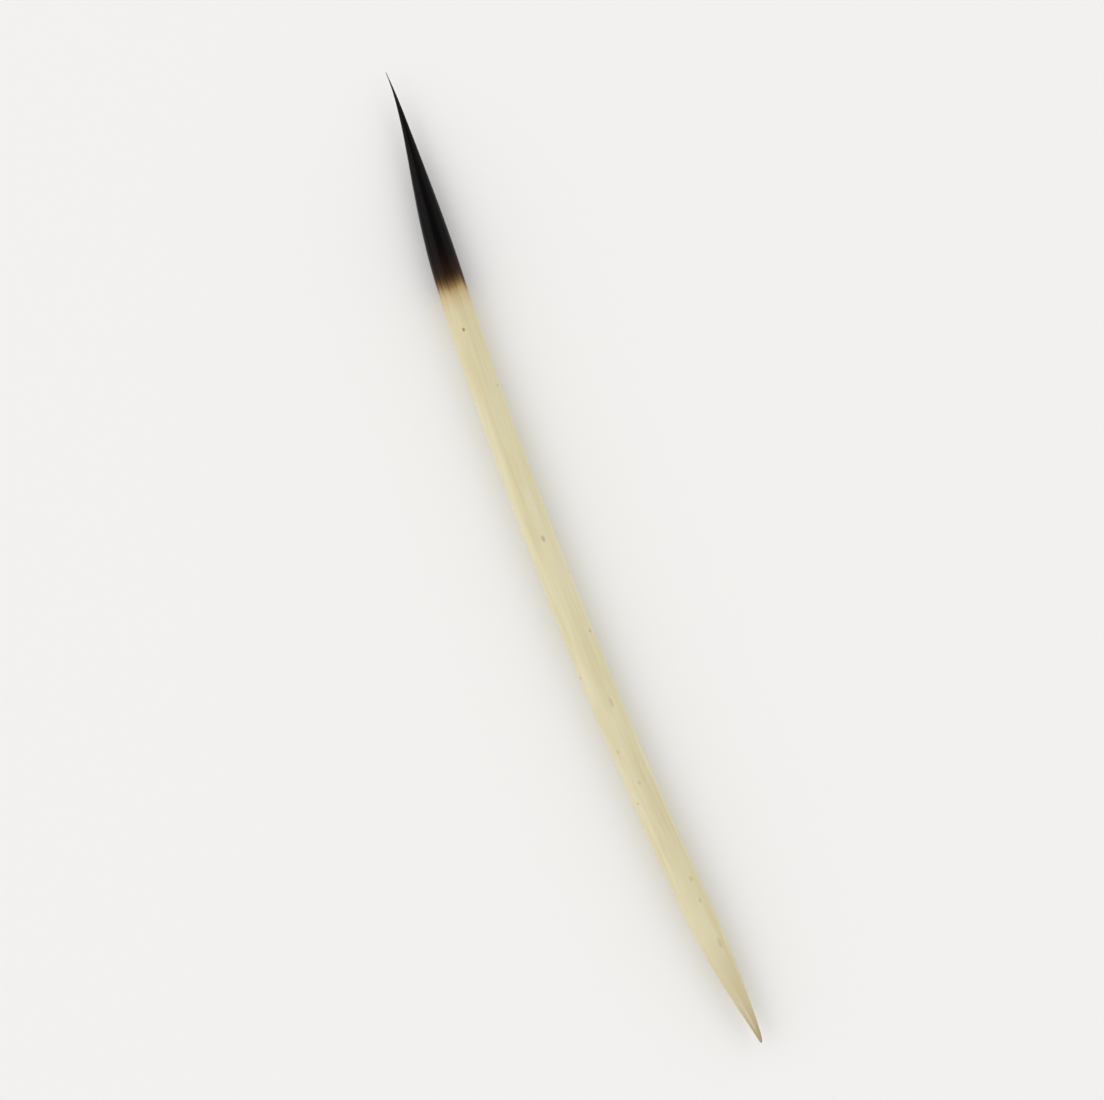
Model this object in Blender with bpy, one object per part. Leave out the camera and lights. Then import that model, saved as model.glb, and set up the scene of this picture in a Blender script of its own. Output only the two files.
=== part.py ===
"""A porcupine's guard quill lying on its side: one tapered, gently bowed spine of keratin.

Metres, +Z up. The quill lies along X with its point at +X and its root at -X, and it bows towards +Y.
The origin is below its middle, on the surface that it rests on.
"""

import math

import bpy
import numpy as np
from mathutils import Vector

MM = 0.001

# Driving dimensions.
LENGTH = 65.0 * MM  # straight from point to root
SHAFT_RADIUS = 0.942 * MM  # at the thickest place, half-way along
SWELL = 0.09  # share of that radius that the shaft would lose by either end
BOW = 1.54 * MM  # how far the middle stands off the straight line between the ends
FLATNESS = 0.15  # 0 makes the bow a parabola, 1 a fourth-power curve, which is flatter in the middle

# The point: a long needle that grows out of the shaft, turned a little back near its end.
POINT_LENGTH = 14.3 * MM
POINT_FULLNESS = 1.55  # above 1 draws the end out into a needle
POINT_RADIUS = 0.02 * MM
HOOK = 0.28 * MM
HOOK_REACH = 4.5 * MM

# The root: a blunter spindle that closes into the narrow neck that sat in the skin.
ROOT_LENGTH = 9.1 * MM
ROOT_FULLNESS = 0.85  # below 1 keeps the spindle full
NECK_RADIUS = 0.06 * MM
NECK_KICK = 0.10 * MM
NECK_KICK_REACH = 0.5 * MM

# The shaft thins away from its middle in step with the bow, so with the bow's plane leaning up by this angle
# its whole length touches the surface, along a bent line, and it doesn't roll.
REST_ANGLE = math.asin(SHAFT_RADIUS * SWELL / BOW)

# Facets. Each side's middle line, and not its edges, is at the radius, and one side faces down. Stations are
# close together at both ends and even along the shaft.
SIDES = 12
END_REACH = 14.5 * MM
POINT_STATIONS = 10
SHAFT_STATIONS = 5
ROOT_STATIONS = 8
CROWDING = 1.4  # above 1 crowds an end's stations towards its tip


def sag(share):
    """0 half-way along and 1 at both ends, as a mix of a square and a fourth power."""
    offset = 1.0 - 2.0 * share
    return (1.0 - FLATNESS) * offset**2 + FLATNESS * offset**4


def taper(distance, length, fullness, end_radius):
    """Share of the shaft's radius at a distance from an end: a power of a sine that levels off at length."""
    reach = min(distance / length, 1.0)
    end_share = end_radius / SHAFT_RADIUS
    return end_share + (1.0 - end_share) * math.sin(0.5 * math.pi * reach) ** fullness


def radius_at(share):
    """The radius at a share of the length from the point: the shaft, times both tapers."""
    shaft = SHAFT_RADIUS * (1.0 - SWELL * sag(share))
    point = taper(share * LENGTH, POINT_LENGTH, POINT_FULLNESS, POINT_RADIUS)
    root = taper((1.0 - share) * LENGTH, ROOT_LENGTH, ROOT_FULLNESS, NECK_RADIUS)
    return shaft * point * root


def centre_at(share):
    """The centreline: the bow, less the hook that fades away from the point, plus the neck's kick."""
    reach = share * LENGTH / HOOK_REACH
    hook = HOOK * reach * math.exp(1.0 - reach)
    kick = NECK_KICK * math.exp((share - 1.0) * LENGTH / NECK_KICK_REACH)
    bow = BOW * (1.0 - sag(share)) - hook + kick
    return Vector(((0.5 - share) * LENGTH, bow * math.cos(REST_ANGLE), bow * math.sin(REST_ANGLE)))


def stations():
    """Shares of the length: crowded by a power law at both ends, where the radius changes fastest."""
    end_share = END_REACH / LENGTH
    point = end_share * np.linspace(0.0, 1.0, POINT_STATIONS) ** CROWDING
    shaft = np.linspace(end_share, 1.0 - end_share, SHAFT_STATIONS)
    root = 1.0 - end_share * np.linspace(1.0, 0.0, ROOT_STATIONS) ** CROWDING
    return np.concatenate([point, shaft[1:-1], root])


def keratin():
    """Pale, satin keratin."""
    material = bpy.data.materials.new("quill_keratin")
    material.use_nodes = True
    shader = material.node_tree.nodes["Principled BSDF"]
    shader.inputs["Base Color"].default_value = (0.72, 0.64, 0.44, 1.0)
    shader.inputs["Roughness"].default_value = 0.45
    shader.inputs["Metallic"].default_value = 0.0
    return material


def make_quill(collection):
    """The quill as a round tube swept along its centreline, each station with its own radius."""
    curve = bpy.data.curves.new("quill", "CURVE")
    curve.dimensions = "3D"
    curve.twist_mode = "Z_UP"
    curve.fill_mode = "FULL"
    curve.bevel_depth = SHAFT_RADIUS
    curve.bevel_resolution = SIDES // 2 - 2
    curve.use_fill_caps = True
    shares = stations()
    spline = curve.splines.new("POLY")
    spline.points.add(len(shares) - 1)
    for point, share in zip(spline.points, shares):
        point.co = (*centre_at(share), 1.0)
        point.radius = radius_at(share) / (SHAFT_RADIUS * math.cos(math.pi / SIDES))
        point.tilt = math.pi / SIDES
    spline.use_smooth = True
    curve.materials.append(keratin())
    quill = bpy.data.objects.new("quill", curve)
    collection.objects.link(quill)
    return quill


def stand_on_origin(part):
    """Moves the part so that the middle of its box's underside is at the origin."""
    bpy.context.view_layer.update()
    corners = [part.matrix_world @ Vector(corner) for corner in part.bound_box]
    low = Vector(map(min, zip(*corners)))
    high = Vector(map(max, zip(*corners)))
    part.location -= Vector(((low.x + high.x) / 2, (low.y + high.y) / 2, low.z))


def main():
    for leftover in list(bpy.data.objects):
        bpy.data.objects.remove(leftover, do_unlink=True)
    collection = bpy.data.collections.new("porcupine_quill")
    bpy.context.scene.collection.children.link(collection)
    stand_on_origin(make_quill(collection))


main()
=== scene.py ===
"""The looks of a porcupine's guard quill that lies on a pale floor: its fine surface, its keratin,
the light and the camera.

Metres, +Z up. The quill lies along X with its point at +X, and it bows towards +Y.
"""

import math

import bpy
import numpy as np
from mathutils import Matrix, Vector


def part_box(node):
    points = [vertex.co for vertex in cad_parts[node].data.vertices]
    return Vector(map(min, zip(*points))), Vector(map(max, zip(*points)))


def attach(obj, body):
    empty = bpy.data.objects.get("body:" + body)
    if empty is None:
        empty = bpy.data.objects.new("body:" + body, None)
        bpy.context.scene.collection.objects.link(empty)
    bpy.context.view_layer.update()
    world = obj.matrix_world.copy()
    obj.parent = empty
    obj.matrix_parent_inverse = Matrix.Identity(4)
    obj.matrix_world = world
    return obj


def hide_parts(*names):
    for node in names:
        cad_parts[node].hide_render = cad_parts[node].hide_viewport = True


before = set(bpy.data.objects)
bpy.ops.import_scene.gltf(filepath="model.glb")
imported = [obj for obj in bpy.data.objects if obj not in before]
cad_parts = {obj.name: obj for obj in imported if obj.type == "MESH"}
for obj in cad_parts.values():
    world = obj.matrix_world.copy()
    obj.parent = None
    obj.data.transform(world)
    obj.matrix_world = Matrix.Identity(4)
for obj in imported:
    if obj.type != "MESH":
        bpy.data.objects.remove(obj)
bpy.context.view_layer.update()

MM = 0.001


# --- The quill's form ---
# A guard quill is a hair grown thick: one stiff, light spine of keratin, round in section. It grew out
# of the skin point first, so it has a needle of a point, an even shaft with a gentle bow, and a short
# spindle that closes into the neck where it was rooted.

LENGTH = 65.0 * MM
SHAFT_RADIUS = 0.942 * MM
SWELL = 0.09
BOW = 1.54 * MM
FLATNESS = 0.15
POINT_LENGTH = 14.3 * MM
POINT_FULLNESS = 1.55
POINT_RADIUS = 0.02 * MM
HOOK = 0.28 * MM
HOOK_REACH = 4.5 * MM
ROOT_LENGTH = 9.1 * MM
ROOT_FULLNESS = 0.85
NECK_RADIUS = 0.06 * MM
NECK_KICK = 0.10 * MM
NECK_KICK_REACH = 0.5 * MM
REST_ANGLE = math.asin(SHAFT_RADIUS * SWELL / BOW)


def sag(share):
    """0 half-way along and 1 at both ends, as a mix of a square and a fourth power."""
    offset = 1.0 - 2.0 * share
    return (1.0 - FLATNESS) * offset**2 + FLATNESS * offset**4


def taper(distance, length, fullness, end_radius):
    """Share of the shaft's radius at a distance from an end: a power of a sine that levels off at length."""
    reach = np.minimum(distance / length, 1.0)
    end_share = end_radius / SHAFT_RADIUS
    return end_share + (1.0 - end_share) * np.sin(0.5 * np.pi * reach) ** fullness


def quill_radius(along):
    """The radius at distances from the point: the shaft times both tapers."""
    shaft = SHAFT_RADIUS * (1.0 - SWELL * sag(along / LENGTH))
    point = taper(along, POINT_LENGTH, POINT_FULLNESS, POINT_RADIUS)
    root = taper(LENGTH - along, ROOT_LENGTH, ROOT_FULLNESS, NECK_RADIUS)
    return shaft * point * root


def quill_centre(along):
    """The centreline at distances from the point: the bow, less the point's hook, plus the neck's kick."""
    reach = along / HOOK_REACH
    hook = HOOK * reach * np.exp(1.0 - reach)
    kick = NECK_KICK * np.exp((along - LENGTH) / NECK_KICK_REACH)
    bow = BOW * (1.0 - sag(along / LENGTH)) - hook + kick
    across, up = bow * math.cos(REST_ANGLE), bow * math.sin(REST_ANGLE)
    return np.stack([0.5 * LENGTH - along, across, up], axis=-1)


# The surface: very slightly out of round, with soft lengthwise ribs.
OUT_OF_ROUND = 0.006  # share of the radius
OVAL_TWIST = 0.09 / MM  # radians by which its cosine shifts in a metre
RIBS = 23
RIB_DEPTH = 0.004  # share of the radius
RIB_WANDER = ((0.35, 7.0 * MM, 0.0), (0.2, 2.9 * MM, 1.0))  # radians, length of a radian of its wave, start
RIB_FADE = (0.6, 0.4, 3, 11.0 * MM)  # mean, swing, lobes round the quill, length of a radian of its wave
LOBES = ((0.5, 5, 9.0 * MM), (0.4, 7, -13.0 * MM))  # height, lobes round the quill, length of a radian


def ribbed(along, angle):
    """Share of the radius by place: an oval that turns slowly, ribs that wander and fade, and a few broad
    lobes. Each is a cosine or sine of the angle round the quill, shifted by the distance along it."""
    oval = OUT_OF_ROUND * np.cos(2.0 * angle + OVAL_TWIST * along)
    wander = sum(size * np.sin(along / length + start) for size, length, start in RIB_WANDER)
    mean, swing, count, length = RIB_FADE
    ribs = np.cos(RIBS * angle + wander) * (mean + swing * np.sin(count * angle + along / length))
    lobes = sum(height * np.sin(count * angle + along / length) for height, count, length in LOBES)
    return 1.0 + oval + RIB_DEPTH * (ribs + lobes)


# The barbs: the last 4 mm of the point carries hundreds of overlapping scales, whose free ends face the
# root. They are at their real size, about a tenth of a millimetre, and lie almost flat.
BARBED_LENGTH = 4.2 * MM
BARB_PITCH = 0.13 * MM
BARB_LIFT = 0.016 * MM
BARBS_AROUND = 9
BARB_NARROWING = (0.6, 2.5)  # power of the tooth's outline where it starts, and what it gains by its free end
FIRST_BARB = 0.25 * MM  # the first barbs rise from nothing over this distance
FIRST_LIFT = 0.25  # share of the full height that barbs have at the point
BARBS_GROWN = 2.5 * MM  # distance in which that share gains 1, until the barbs are full
BARBS_FADE = 1.2 * MM  # the last barbs sink to nothing over this distance


def barbs(along, angle):
    """Height by place: two staggered families of teeth. Each rises slowly away from the point, narrows, and
    ends in a step."""
    height = np.zeros(np.broadcast(along, angle).shape)
    for stagger in (0.0, 0.5):
        row = along / BARB_PITCH + stagger
        rise = row - np.floor(row)
        turn = BARBS_AROUND * angle / (2.0 * np.pi) + stagger
        across = np.cos(np.pi * (turn - np.floor(turn) - 0.5))
        height = np.maximum(height, rise * across ** (BARB_NARROWING[0] + BARB_NARROWING[1] * rise))
    start = np.clip(along / FIRST_BARB, 0.0, 1.0)
    end = np.clip((BARBED_LENGTH - along) / BARBS_FADE, 0.0, 1.0)
    grown = np.minimum(1.0, FIRST_LIFT + along / BARBS_GROWN)
    return BARB_LIFT * height * start * end * grown


# The neck: the last 2 mm before the root has dried and shrunk into fine pleats.
NECK_PLEATS = 7
NECK_PLEAT_DEPTH = 0.07  # share of the radius
NECK_LENGTH = 1.6 * MM
PLEAT_SWAY = (2.0, 0.5 * MM)  # radians, and the length of a radian of its wave


def pleats(along, angle):
    """Share of the radius by place: a cosine of the angle, whose folds sway and fade away from the root."""
    fade = np.exp(-(((LENGTH - along) / NECK_LENGTH) ** 2))
    sway = PLEAT_SWAY[0] * np.sin(along / PLEAT_SWAY[1])
    return 1.0 + NECK_PLEAT_DEPTH * fade * np.cos(NECK_PLEATS * angle + sway)


# The mesh: rings of 112 vertices, 0.013 mm apart on the barbs and 0.13 mm on the shaft.
AROUND = 112
BARBED_RINGS = 330
SHAFT_RINGS = 430
NECK_RINGS = 90


def ring_places():
    """Distances from the point of the mesh's rings: close together at the barbs and at the neck."""
    barbed = np.linspace(0.0, BARBED_LENGTH, BARBED_RINGS, endpoint=False)
    shaft = np.linspace(BARBED_LENGTH, LENGTH - 2.0 * NECK_LENGTH, SHAFT_RINGS, endpoint=False)
    neck = np.linspace(LENGTH - 2.0 * NECK_LENGTH, LENGTH, NECK_RINGS)
    return np.concatenate([barbed, shaft, neck])


def rounded_ends(along):
    """Share of the radius: a quarter circle over the last bit of each end, so that both ends close."""
    share = np.ones_like(along)
    for distance, reach in ((along, POINT_RADIUS), (LENGTH - along, NECK_RADIUS)):
        inside = 1.0 - np.clip(distance / reach, 0.0, 1.0)
        share *= np.sqrt(1.0 - inside**2)
    return share


def quill_grid():
    """Rings of vertices round the centreline. Each lies in the plane across X, because the bow is slight."""
    along = ring_places()[1:-1, None]
    angle = (2.0 * np.pi * np.arange(AROUND) / AROUND)[None, :]
    radius = quill_radius(along) * rounded_ends(along)
    radius = radius * ribbed(along, angle) * pleats(along, angle) + barbs(along, angle)
    centre = quill_centre(along[:, 0])[:, None, :]
    spoke = np.stack([np.zeros_like(radius), radius * np.sin(angle), radius * np.cos(angle)], axis=-1)
    return along, angle, centre + spoke


def closed_skin(rings, sides):
    """Face corners, and the faces' sizes, of a grid of rings with a pole before the first and after the
    last."""
    ring = np.arange(rings - 1)[:, None] * sides
    here = np.arange(sides)[None, :]
    after = (here + 1) % sides
    quads = np.stack([ring + here, ring + after, ring + sides + after, ring + sides + here], axis=-1)
    first, last = rings * sides, rings * sides + 1
    last_ring = (rings - 1) * sides
    here, after = here[0], after[0]
    point_fan = np.stack([np.full(sides, first), after, here], axis=-1)
    root_fan = np.stack([np.full(sides, last), last_ring + here, last_ring + after], axis=-1)
    corners = np.concatenate([quads.reshape(-1), point_fan.reshape(-1), root_fan.reshape(-1)])
    sizes = np.concatenate([np.full(quads.size // 4, 4), np.full(2 * sides, 3)])
    return corners, sizes


def mesh_from(name, points, corners, sizes):
    """A smooth-shaded mesh from arrays of points, face corners and face sizes."""
    mesh = bpy.data.meshes.new(name)
    mesh.vertices.add(len(points))
    mesh.vertices.foreach_set("co", points.reshape(-1).astype(np.float32))
    mesh.loops.add(len(corners))
    mesh.loops.foreach_set("vertex_index", corners.astype(np.int32))
    mesh.polygons.add(len(sizes))
    starts = np.concatenate([[0], np.cumsum(sizes)[:-1]])
    mesh.polygons.foreach_set("loop_start", starts.astype(np.int32))
    mesh.polygons.foreach_set("use_smooth", np.ones(len(sizes), dtype=bool))
    mesh.update(calc_edges=True)
    mesh.validate()
    return mesh


along, angle, grid = quill_grid()
rings = len(along)
ends = quill_centre(np.array([0.0, LENGTH]))
points = np.concatenate([grid.reshape(-1, 3), ends])
low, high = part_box("quill")
off_middle = (low.y + high.y - points[:, 1].min() - points[:, 1].max()) / 2
points += np.array([0.0, off_middle, low.z - points[:, 2].min()])
quill = bpy.data.objects.new("guard_quill", mesh_from("guard_quill", points, *closed_skin(rings, AROUND)))
bpy.context.scene.collection.objects.link(quill)

# Every point knows its place on a straightened quill of even thickness, in millimetres: the distance from
# the point along X, and the spoke's direction times the shaft's radius in Y and Z. Patterns read it, so
# they run along the quill, close round it without a seam, and draw together towards both ends.
turn = np.broadcast_to(angle, (rings, AROUND))
spoke = SHAFT_RADIUS * np.stack([np.zeros_like(turn), np.sin(turn), np.cos(turn)], axis=-1)
place = spoke + along[:, :, None] * np.array([1.0, 0.0, 0.0])
place = np.concatenate([place.reshape(-1, 3), [[0.0, 0.0, 0.0], [LENGTH, 0.0, 0.0]]]) / MM
skin = quill.data.attributes.new("skin_place", "FLOAT_VECTOR", "POINT")
skin.data.foreach_set("vector", place.reshape(-1).astype(np.float32))

# A flat map of the skin, cut into three strips that stand side by side: round the quill across, and
# along it upwards.
STRIPS = 3
STRIP_MARGIN = 0.01


def strip_map(along, sides):
    """Map places of every face corner, in the corners' order. A ring of faces goes to the strip that its
    middle falls in, and its height there is its share of that strip's length."""
    edges = np.concatenate([[0.0], along, [LENGTH]]) / LENGTH * STRIPS
    strip = np.minimum(np.floor((edges[:-1] + edges[1:]) / 2), STRIPS - 1)
    lower, upper = edges[:-1] - strip, edges[1:] - strip
    side = np.arange(sides) / sides
    shape = (len(strip), sides)
    across = np.stack([np.broadcast_to(side, shape), np.broadcast_to(side + 1.0 / sides, shape)])
    across = (strip[:, None] + STRIP_MARGIN + (1.0 - 2.0 * STRIP_MARGIN) * across) / STRIPS
    heights = np.stack([np.broadcast_to(lower[:, None], shape), np.broadcast_to(upper[:, None], shape)])
    heights = STRIP_MARGIN + (1.0 - 2.0 * STRIP_MARGIN) * heights
    here, after = across
    bottom, top = heights
    quads = np.stack([here, bottom, after, bottom, after, top, here, top], axis=-1)[1:-1]
    halfway = (here + after) / 2
    point_fan = np.stack([halfway, bottom, after, top, here, top], axis=-1)[0]
    root_fan = np.stack([halfway, top, here, bottom, after, bottom], axis=-1)[-1]
    return np.concatenate([quads.reshape(-1), point_fan.reshape(-1), root_fan.reshape(-1)])


flat_map = quill.data.uv_layers.new(name="OFBake")
flat_map.uv.foreach_set("vector", strip_map(along[:, 0], AROUND).astype(np.float32))


# --- The keratin ---
# Quill keratin is smooth, dense and horn-like over a pith of pale foam, so it is ivory with a satin sheen.
# Its fibres show as faint lengthwise streaks. The point is filled with black pigment, which thins out
# through brown within 2 mm, fibre by fibre.


def linear(code):
    """A colour for a shader from its sRGB hex code: each channel is brought to linear light."""
    channels = [int(code[i : i + 2], 16) / 255.0 for i in (1, 3, 5)]
    bent = [c / 12.92 if c <= 0.04045 else ((c + 0.055) / 1.055) ** 2.4 for c in channels]
    return (*bent, 1.0)


def add_node(tree, kind, settings, inputs):
    """Adds a node. Settings are its properties; inputs are values, or sockets to link, by name or number."""
    made = tree.nodes.new(kind)
    for name, value in settings.items():
        setattr(made, name, value)
    for name, value in inputs.items():
        if isinstance(value, bpy.types.NodeSocket):
            tree.links.new(value, made.inputs[name])
        else:
            made.inputs[name].default_value = value
    return made


def fill_ramp(ramp, filling):
    """Puts stops on a colour ramp, each a place from 0 to 1 and a colour, in order."""
    while len(ramp.elements) < len(filling):
        ramp.elements.new(1.0)
    for stop, (stop_place, colour) in zip(ramp.elements, filling):
        stop.position = stop_place
        stop.color = colour


PIGMENT_AND_ROOT_SHADE = (  # millimetres from the point, and the colour there
    (0.0, "#4a382c"),
    (0.8, "#2e2018"),
    (1.8, "#150d09"),
    (3.2, "#070403"),
    (5.0, "#030201"),
    (11.3, "#020101"),
    (12.2, "#070301"),
    (12.8, "#0f0603"),
    (13.3, "#190d06"),
    (13.7, "#231409"),
    (14.0, "#2e1c0e"),
    (14.35, "#4c351d"),
    (14.7, "#816740"),
    (15.05, "#b39c70"),
    (15.5, "#c3b189"),
    (16.2, "#cdc09a"),
    (17.4, "#d3c9a4"),
    (20.0, "#d6cdab"),
    (26.0, "#d7cfad"),
    (58.0, "#d5ccab"),
    # From 58 mm to the root the colour darkens and greys: partly the neck's own tan, partly painted shade.
    (62.4, "#c6ba98"),
    (64.0, "#b0a182"),
    (65.0, "#8f7c5c"),
)
PIGMENT_SPAN = 65.0
FRINGE = 0.7  # millimetres that the pigment's edge moves up and down from fibre to fibre
FRINGE_LEAN = 0.06  # millimetres nearer the point per millimetre towards +Y

# Where a pattern fades in and, given four distances, out again, in millimetres from the point.
FRINGE_REACH = (9.0, 12.5, 17.0, 26.0)
BROWN_FIBRES_REACH = (2.0, 5.0, 8.5, 11.0)
HORN_START = (14.5, 17.0)
BROWN_FIBRE = "#24130a"

# Mottling: a patch's length and width in millimetres, the noise between which it fades in, its strength,
# and its colour.
MOTTLING = (
    (6.0, 0.7, 0.40, 0.70, 0.42, "#c8bc90"),  # yellower, where the horn is thick
    (3.5, 0.5, 0.52, 0.75, 0.45, "#dbd5bb"),  # whiter, over the pith
    (7.0, 0.12, 0.50, 0.72, 0.20, "#b9a878"),  # single fibres
)

# Specks: millimetres from the point, degrees from the top towards +Y, length and width in millimetres,
# strength, and colour. They are stains of the dried skin, on all sides.
SPECKS = (
    (17.7, 9.7, 0.30, 0.24, 0.70, "#7a5a36"),
    (31.8, -6.0, 0.60, 0.36, 0.45, "#8a8163"),
    (42.7, -15.0, 0.80, 0.26, 0.30, "#a08a5c"),
    (45.7, 37.0, 0.45, 0.24, 0.28, "#a08a5c"),
    (47.9, 7.0, 0.40, 0.26, 0.25, "#a08c60"),
    (54.4, -24.0, 0.45, 0.28, 0.30, "#9c8658"),
    (55.8, -20.0, 0.36, 0.24, 0.30, "#9c8658"),
    (58.6, -20.0, 0.90, 0.45, 0.30, "#a58b60"),
    (22.4, 118.0, 0.42, 0.26, 0.55, "#7a5c38"),
    (36.9, 165.0, 0.90, 0.30, 0.35, "#9a8356"),
    (50.2, -128.0, 0.36, 0.30, 0.60, "#6a4c2e"),
    (27.5, -84.0, 0.60, 0.28, 0.35, "#92805a"),
    (57.3, 96.0, 0.80, 0.40, 0.35, "#a0875a"),
    (40.6, 74.0, 0.30, 0.22, 0.50, "#775a38"),
)
DUST = "#8f7850"


def quill_keratin():
    """Horn-like keratin with a satin sheen. Base colour is pigment by distance, with painted shade at the
    root end, then mottling, streaks and specks; a fine lengthwise grain roughens the skin."""
    material = bpy.data.materials.new("quill_keratin")
    material.use_nodes = True
    tree = material.node_tree
    shader = tree.nodes["Principled BSDF"]
    place = add_node(tree, "ShaderNodeAttribute", {"attribute_name": "skin_place"}, {}).outputs["Vector"]
    parts = add_node(tree, "ShaderNodeSeparateXYZ", {}, {0: place}).outputs
    along = parts["X"]

    def grain(length, width, detail):
        """Noise in patches of a length along the quill and a width round it, in millimetres, from 0 to 1."""
        scaled = {0: place, 1: (1.0 / length, 1.0 / width, 1.0 / width)}
        spot = add_node(tree, "ShaderNodeVectorMath", {"operation": "MULTIPLY"}, scaled).outputs[0]
        noise = add_node(tree, "ShaderNodeTexNoise", {}, {"Vector": spot, "Scale": 1.0, "Detail": detail})
        return noise.outputs["Fac"]

    def remap(value, low, high, new_low, new_high, kind="LINEAR"):
        """The value, taken from one range to another and held inside it."""
        ranges = {"Value": value, "From Min": low, "From Max": high, "To Min": new_low, "To Max": new_high}
        return add_node(tree, "ShaderNodeMapRange", {"interpolation_type": kind}, ranges).outputs["Result"]

    def reckon(operation, *values):
        """One step of arithmetic."""
        return add_node(tree, "ShaderNodeMath", {"operation": operation}, dict(enumerate(values))).outputs[0]

    def between(rise, full, fall, gone):
        """0 to 1 and back to 0 with the distance from the point: a rising ramp times a falling one."""
        return reckon("MULTIPLY", remap(along, rise, full, 0.0, 1.0), remap(along, fall, gone, 1.0, 0.0))

    def mixed(share, first, second):
        """Two colours mixed by a share."""
        inputs = {0: share, 6: first, 7: second}
        return add_node(tree, "ShaderNodeMix", {"data_type": "RGBA"}, inputs).outputs[2]

    # Fibres about 0.3 mm wide carry the pigment's edge up or down, and it leans a little towards one side.
    fibres = grain(9.0, 0.30, 3.0)
    fringe = reckon("MULTIPLY_ADD", fibres, FRINGE * 2.0, -FRINGE)
    lean = reckon("MULTIPLY_ADD", parts["Y"], FRINGE_LEAN, fringe)
    edge = reckon("MULTIPLY_ADD", lean, between(*FRINGE_REACH), along)
    # The colour by distance from the point: black pigment, the ivory shaft, and towards the root the neck's
    # tan, darkened further by painted shade.
    pigment_and_root_shade = add_node(tree, "ShaderNodeValToRGB", {}, {"Fac": reckon("DIVIDE", edge, PIGMENT_SPAN)})
    fill_ramp(pigment_and_root_shade.color_ramp, [(distance / PIGMENT_SPAN, linear(code)) for distance, code in PIGMENT_AND_ROOT_SHADE])
    colour = pigment_and_root_shade.outputs["Color"]

    # Brown fibres show through the black, in streaks about 0.25 mm wide.
    streaks = remap(grain(5.0, 0.25, 2.0), 0.50, 0.75, 0.0, 0.40)
    colour = mixed(reckon("MULTIPLY", streaks, between(*BROWN_FIBRES_REACH)), colour, linear(BROWN_FIBRE))

    pale = remap(along, *HORN_START, 0.0, 1.0)
    for length, width, faint, full, strength, code in MOTTLING:
        patch = reckon("MULTIPLY", remap(grain(length, width, 2.0), faint, full, 0.0, strength), pale)
        colour = mixed(patch, colour, linear(code))

    # Each speck is an oval that fades out towards its rim, which the fibres fray.
    for distance, degrees, length, width, strength, code in SPECKS:
        turn = math.radians(degrees)
        centre = (distance, SHAFT_RADIUS / MM * math.sin(turn), SHAFT_RADIUS / MM * math.cos(turn))
        off = add_node(tree, "ShaderNodeVectorMath", {"operation": "SUBTRACT"}, {0: place, 1: centre})
        sized = {0: off.outputs[0], 1: (2.0 / length, 2.0 / width, 2.0 / width)}
        off = add_node(tree, "ShaderNodeVectorMath", {"operation": "MULTIPLY"}, sized)
        length_off = add_node(tree, "ShaderNodeVectorMath", {"operation": "LENGTH"}, {0: off.outputs[0]})
        reach = length_off.outputs["Value"]
        ragged = reckon("MULTIPLY_ADD", fibres, 0.8, reckon("SUBTRACT", reach, 0.4))
        colour = mixed(remap(ragged, 0.35, 1.0, strength, 0.0, "SMOOTHSTEP"), colour, linear(code))

    # Dust: faint dots up to 0.2 mm across, one to every few dozen square millimetres.
    cells = add_node(tree, "ShaderNodeTexVoronoi", {"feature": "F1"}, {"Vector": place, "Scale": 0.55})
    chance = add_node(tree, "ShaderNodeSeparateColor", {}, {0: cells.outputs["Color"]}).outputs[0]
    dot = remap(cells.outputs["Distance"], 0.03, 0.09, 1.0, 0.0, "SMOOTHSTEP")
    dust = reckon("MULTIPLY", reckon("MULTIPLY", dot, remap(chance, 0.60, 0.85, 0.0, 0.4)), pale)
    colour = mixed(dust, colour, linear(DUST))
    tree.links.new(colour, shader.inputs["Base Color"])

    # The grain: grooves 0.07 mm apart that rise and fall by about 2 micrometres, and dull the sheen.
    grooves = reckon("ADD", grain(4.0, 0.07, 2.0), reckon("MULTIPLY", grain(1.2, 0.35, 2.0), 1.5))
    bump = add_node(tree, "ShaderNodeBump", {}, {"Height": grooves, "Strength": 0.35, "Distance": 0.004 * MM})
    tree.links.new(bump.outputs["Normal"], shader.inputs["Normal"])

    # The sheen: roughness 0.22 to 0.30 from fibre to fibre on the black, and 0.08 more on the pale shaft.
    shaft = remap(along, 11.0, 16.0, 0.0, 1.0)
    rough = reckon("MULTIPLY_ADD", shaft, 0.08, remap(fibres, 0.3, 0.7, 0.22, 0.30))
    tree.links.new(rough, shader.inputs["Roughness"])
    # It reflects a seventh of what polished horn does, because the skin is dry.
    shader.inputs["Specular IOR Level"].default_value = 0.07

    # Light goes about half a millimetre into the horn, red the furthest.
    shader.inputs["Subsurface Weight"].default_value = 0.15
    shader.inputs["Subsurface Radius"].default_value = (1.0, 0.75, 0.45)
    shader.inputs["Subsurface Scale"].default_value = 0.5 * MM
    return material


quill.data.materials.append(quill_keratin())
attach(quill, "root")
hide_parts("quill")


# --- The floor ---
# A plain round of matt, near-white card, laid flat under the quill and wide enough to meet the horizon
# in every view.

FLOOR_RADIUS = 1.5
FLOOR_SIDES = 64


def floor_card():
    """Matt white card."""
    material = bpy.data.materials.new("matt_card")
    material.use_nodes = True
    shader = material.node_tree.nodes["Principled BSDF"]
    shader.inputs["Base Color"].default_value = linear("#eeedeb")
    shader.inputs["Roughness"].default_value = 1.0
    shader.inputs["Specular IOR Level"].default_value = 0.0
    return material


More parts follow.
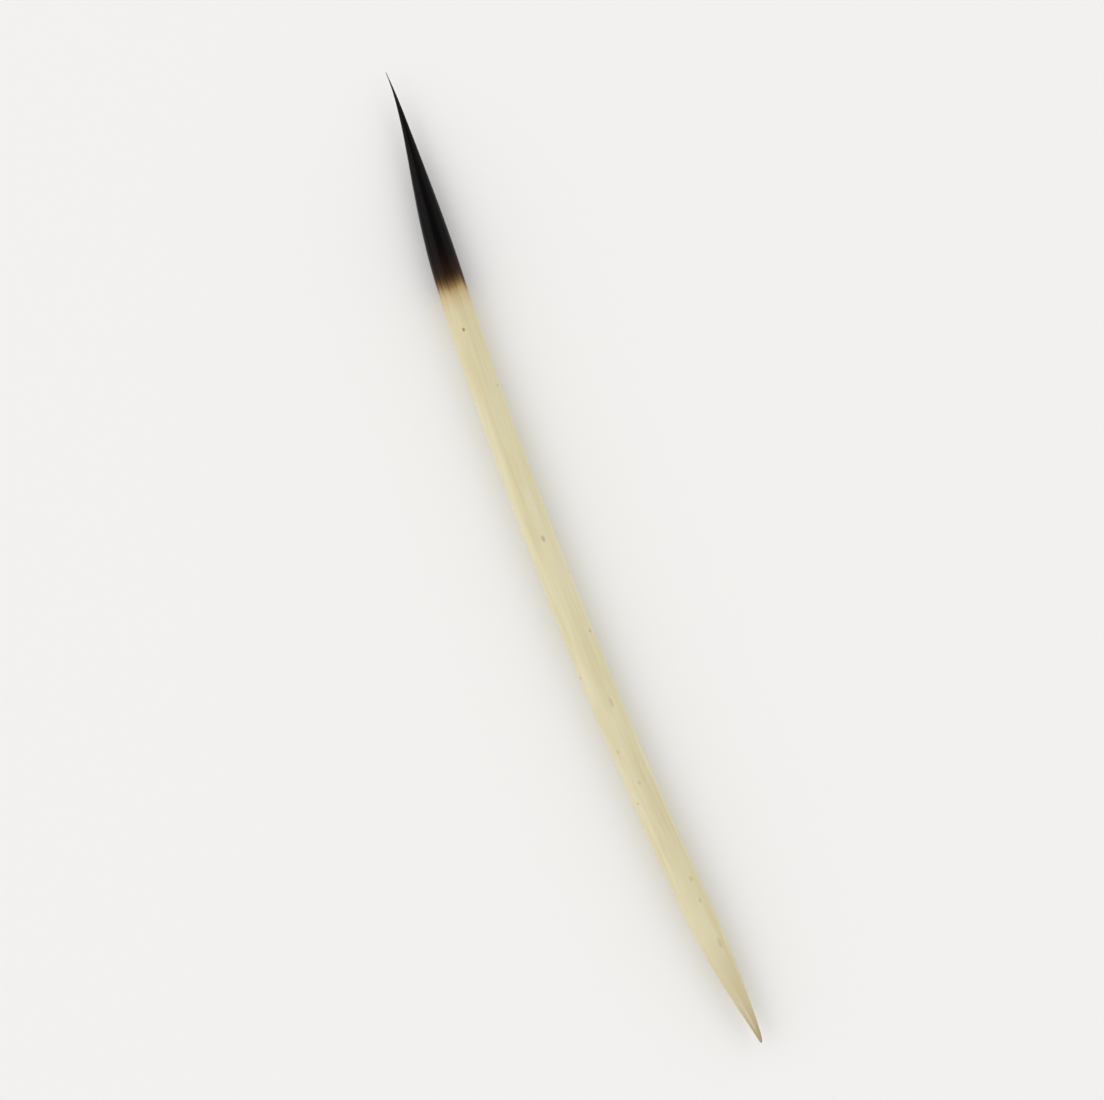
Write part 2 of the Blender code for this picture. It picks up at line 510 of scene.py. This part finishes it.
corner = np.arange(FLOOR_SIDES)
bearing = 2.0 * np.pi * corner / FLOOR_SIDES
rim = FLOOR_RADIUS * np.stack([np.cos(bearing), np.sin(bearing), np.zeros(FLOOR_SIDES)], axis=-1)
floor = bpy.data.objects.new("floor", mesh_from("floor", rim, corner, np.array([FLOOR_SIDES])))
bpy.context.scene.collection.objects.link(floor)
floor.data.materials.append(floor_card())


# --- Light and camera ---
# A light tent, bright all round and dimmer overhead, with one large soft lamp far off on the left. The
# camera looks down on the quill, so that it leans as a quill does that stands in a jar: point up and to
# the left.

middle = (low + high) / 2
CAMERA_AZIMUTH = math.radians(-110.9)
CAMERA_ELEVATION = math.radians(80.0)
CAMERA_DISTANCE = 0.189
CAMERA_LENS = 100.0
CAMERA_NEAREST = 0.01

TENT = (  # the sine of the height above the horizon, and the brightness there
    (0.0, 0.62),
    (0.1, 0.66),
    (0.3, 1.0),
    (0.6, 1.0),
    (0.74, 0.75),
    (0.86, 0.4),
    (0.95, 0.2),
    (1.0, 0.15),
)
TENT_STRENGTH = 1.42

LAMP_SIZE = 2.4
LAMP_POWER = 7.2  # watts
LAMP_LEFT, LAMP_AWAY, LAMP_HEIGHT = 1.68, 0.40, 1.08  # from the quill's middle, as the camera sees it

world = bpy.data.worlds.new("light_tent")
bpy.context.scene.world = world
world.use_nodes = True
sky = world.node_tree
direction = add_node(sky, "ShaderNodeTexCoord", {}, {}).outputs["Generated"]
height = add_node(sky, "ShaderNodeSeparateXYZ", {}, {0: direction}).outputs["Z"]
tent = add_node(sky, "ShaderNodeValToRGB", {}, {"Fac": height})
fill_ramp(tent.color_ramp, [(sine, (grey, grey, grey, 1.0)) for sine, grey in TENT])
background = sky.nodes["Background"]
sky.links.new(tent.outputs["Color"], background.inputs["Color"])
background.inputs["Strength"].default_value = TENT_STRENGTH

away = Vector((-math.sin(CAMERA_AZIMUTH), math.cos(CAMERA_AZIMUTH), 0.0))
left = Vector((-away.y, away.x, 0.0))


def aim(thing, place, target):
    """Puts a lamp or camera at a place and points it at a target."""
    thing.location = place
    thing.rotation_mode = "QUATERNION"
    thing.rotation_quaternion = (target - place).to_track_quat("-Z", "Y")
    bpy.context.scene.collection.objects.link(thing)


lamp = bpy.data.lights.new("soft_lamp", "AREA")
lamp.shape = "DISK"
lamp.size = LAMP_SIZE
lamp.energy = LAMP_POWER
lamp_place = middle + LAMP_LEFT * left + LAMP_AWAY * away + Vector((0.0, 0.0, LAMP_HEIGHT))
aim(bpy.data.objects.new("soft_lamp", lamp), lamp_place, middle)

lens = bpy.data.cameras.new("camera")
lens.lens = CAMERA_LENS
lens.clip_start = CAMERA_NEAREST
back = Vector((0.0, 0.0, math.sin(CAMERA_ELEVATION))) - away * math.cos(CAMERA_ELEVATION)
camera = bpy.data.objects.new("camera", lens)
aim(camera, middle + back * CAMERA_DISTANCE, middle)
bpy.context.scene.camera = camera
bpy.context.scene.view_settings.view_transform = "Standard"
